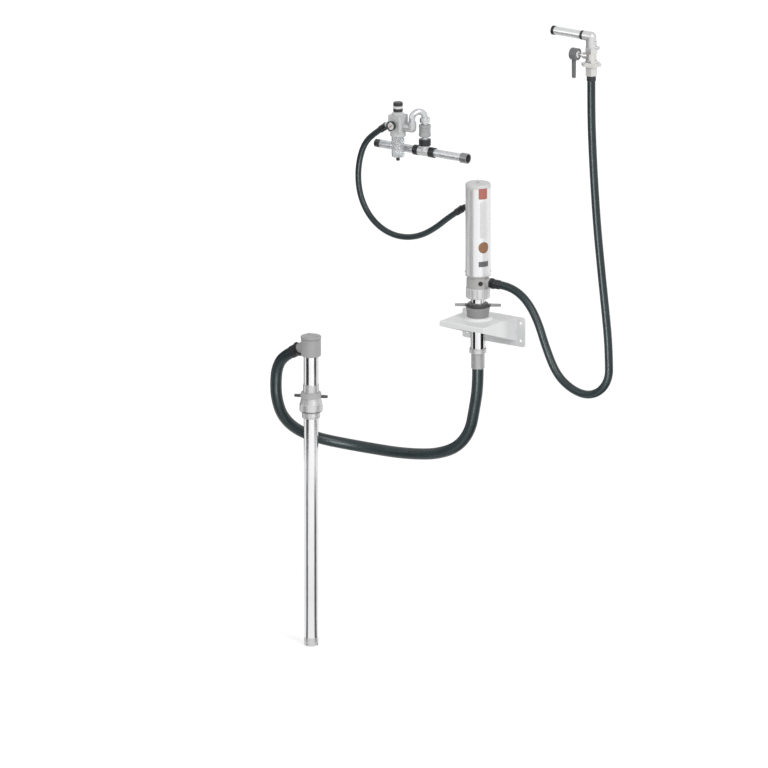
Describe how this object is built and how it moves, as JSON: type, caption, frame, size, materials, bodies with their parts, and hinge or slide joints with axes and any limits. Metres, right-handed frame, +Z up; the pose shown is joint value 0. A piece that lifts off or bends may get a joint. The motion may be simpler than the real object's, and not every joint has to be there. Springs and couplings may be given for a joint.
{
  "type": "air-operated oil pump set",
  "caption": "Wall-mounted air-operated oil pump on a bracket, with air, suction and delivery hoses, a filter-regulator, a drum suction lance and a lever delivery valve.",
  "frame": {"origin": "centre of the wall plate's back face", "axes": "+X right along the wall, +Y into the wall, +Z up; millimetre model exported in metres"},
  "size_m": [1.1976, 0.383, 2.18],
  "materials": {
    "bracket_paint": "smooth white-grey powder coat",
    "dark_casting": "dark grey phosphated casting",
    "tube_chrome": "bright chromed steel tube",
    "tube_steel": "zinc plated steel tube",
    "outlet_casting": "satin cast aluminium",
    "ring_nut_metal": "machined aluminium",
    "cover_silver": "satin anodised aluminium",
    "cap_plastic": "light grey moulded plastic",
    "inner_steel": "ground steel",
    "inner_aluminium": "machined aluminium",
    "bronze": "machined bronze",
    "seal_rubber": "black nitrile",
    "foam": "open porous plastic",
    "union_zinc": "bright zinc plate",
    "fitting_black": "black zinc-nickel plate",
    "hose_rubber": "blue-black oil hose with a smooth cover",
    "regulator_grey": "light grey enamel on zinc",
    "knob_plastic": "dark grey moulded plastic",
    "bowl_clear": "clear polycarbonate",
    "gauge_black": "black moulded case",
    "pipe_zinc": "galvanised steel pipe",
    "valve_nickel": "nickel-plated brass",
    "lever_grey": "grey painted steel lever",
    "lance_casting": "satin cast aluminium"
  },
  "bodies": {
    "root": {"wall_plate": "bracket_paint", "bracket_shelf": "bracket_paint", "pump_adaptor": "dark_casting", "collet": "bronze", "pump_tube": "tube_chrome", "pump_liner": "inner_steel", "suction_seat": "inner_steel", "ring_nut": "ring_nut_metal", "outlet_body": "outlet_casting", "lower_head": "outlet_casting", "rod_gland": "bronze", "motor_cylinder": "inner_aluminium", "upper_head": "inner_aluminium", "valve_plug": "inner_aluminium", "tie_rods": "inner_steel", "silencer": "foam", "motor_cover": "cover_silver", "top_cap": "cap_plastic", "suction_union_nut": "union_zinc", "suction_ferrule": "ring_nut_metal", "regulator_body": "regulator_grey", "filter_bowl": "bowl_clear", "filter_element": "foam", "gauge_case": "gauge_black", "gooseneck": "pipe_zinc", "air_elbows": "regulator_grey", "air_tee": "fitting_black", "air_pipe": "pipe_zinc", "valve_body": "valve_nickel", "delivery_elbow": "pipe_zinc", "delivery_pipe": "pipe_zinc", "lance_head": "lance_casting", "lance_tube": "tube_steel", "foot_valve_body": "union_zinc", "hose_nuts": "fitting_black", "hose_crimps": "fitting_black", "delivery_hose_tube": "hose_rubber", "air_hose_tube": "hose_rubber", "suction_hose_tube": "hose_rubber"},
    "piston_group": {"air_piston": "inner_aluminium", "piston_seals": "seal_rubber", "piston_bolt": "inner_steel", "piston_rod": "inner_steel", "pump_piston": "inner_steel"},
    "check_ball": {"check_ball": "inner_steel"},
    "suction_ball": {"suction_ball": "inner_steel"},
    "valve_spool": {"valve_spool": "inner_aluminium"},
    "wall_wing_ring": {"wall_wing_ring": "dark_casting"},
    "regulator_knob": {"regulator_knob": "knob_plastic"},
    "drain_knob": {"drain_knob": "knob_plastic"},
    "gauge_needle": {"gauge_needle": "seal_rubber"},
    "shutoff_sleeve": {"shutoff_sleeve": "regulator_grey"},
    "valve_handle": {"valve_ball": "valve_nickel", "valve_stem": "valve_nickel", "valve_lever": "lever_grey"},
    "drum_adaptor": {"drum_adaptor": "union_zinc", "bung_gasket": "seal_rubber"},
    "adaptor_wing_nut": {"adaptor_wing_nut": "dark_casting"},
    "foot_ball": {"foot_ball": "inner_steel"}
  },
  "joints": [
    {"name": "piston_travel", "type": "slide", "parent": "root", "child": "piston_group", "axis": [0, 0, 1], "range_m": [0, 0.1]},
    {"name": "check_ball_lift", "type": "slide", "parent": "piston_group", "child": "check_ball", "axis": [0, 0, 1], "range_m": [0, 0.004]},
    {"name": "suction_ball_lift", "type": "slide", "parent": "root", "child": "suction_ball", "axis": [0, 0, 1], "range_m": [0, 0.005]},
    {"name": "spool_shift", "type": "slide", "parent": "root", "child": "valve_spool", "axis": [0, 0, 1], "range_m": [0, 0.008]},
    {"name": "wing_ring_turn", "type": "hinge", "parent": "root", "child": "wall_wing_ring", "pos_m": [0, -0.095, 0.098], "axis": [0, 0, 1], "range_deg": [0, 360]},
    {"name": "pressure_adjust", "type": "hinge", "parent": "root", "child": "regulator_knob", "pos_m": [-0.336, -0.075, 0.72], "axis": [0, 0, 1], "continuous": true},
    {"name": "drain_turn", "type": "hinge", "parent": "root", "child": "drain_knob", "pos_m": [-0.336, -0.075, 0.541], "axis": [0, 0, 1], "range_deg": [0, 180]},
    {"name": "needle_swing", "type": "hinge", "parent": "root", "child": "gauge_needle", "pos_m": [-0.336, -0.1165, 0.6605], "axis": [0, 1, 0], "range_deg": [0, 270], "stiffness_Nm_per_rad": 0.0005},
    {"name": "shutoff_slide", "type": "slide", "parent": "root", "child": "shutoff_sleeve", "axis": [0, 0, 1], "range_m": [0, 0.0075]},
    {"name": "valve_turn", "type": "hinge", "parent": "root", "child": "valve_handle", "pos_m": [0.451, -0.095, 1.006], "axis": [-1, 0, 0], "range_deg": [0, 90]},
    {"name": "adaptor_slide", "type": "slide", "parent": "root", "child": "drum_adaptor", "axis": [0, 0, 1], "range_m": [-0.74, 0.08]},
    {"name": "wing_nut_turn", "type": "hinge", "parent": "drum_adaptor", "child": "adaptor_wing_nut", "pos_m": [-0.498, -0.345, -0.232], "axis": [0, 0, 1], "range_deg": [0, 360]},
    {"name": "foot_ball_lift", "type": "slide", "parent": "root", "child": "foot_ball", "axis": [0, 0, 1], "range_m": [0, 0.0048]}
  ]
}
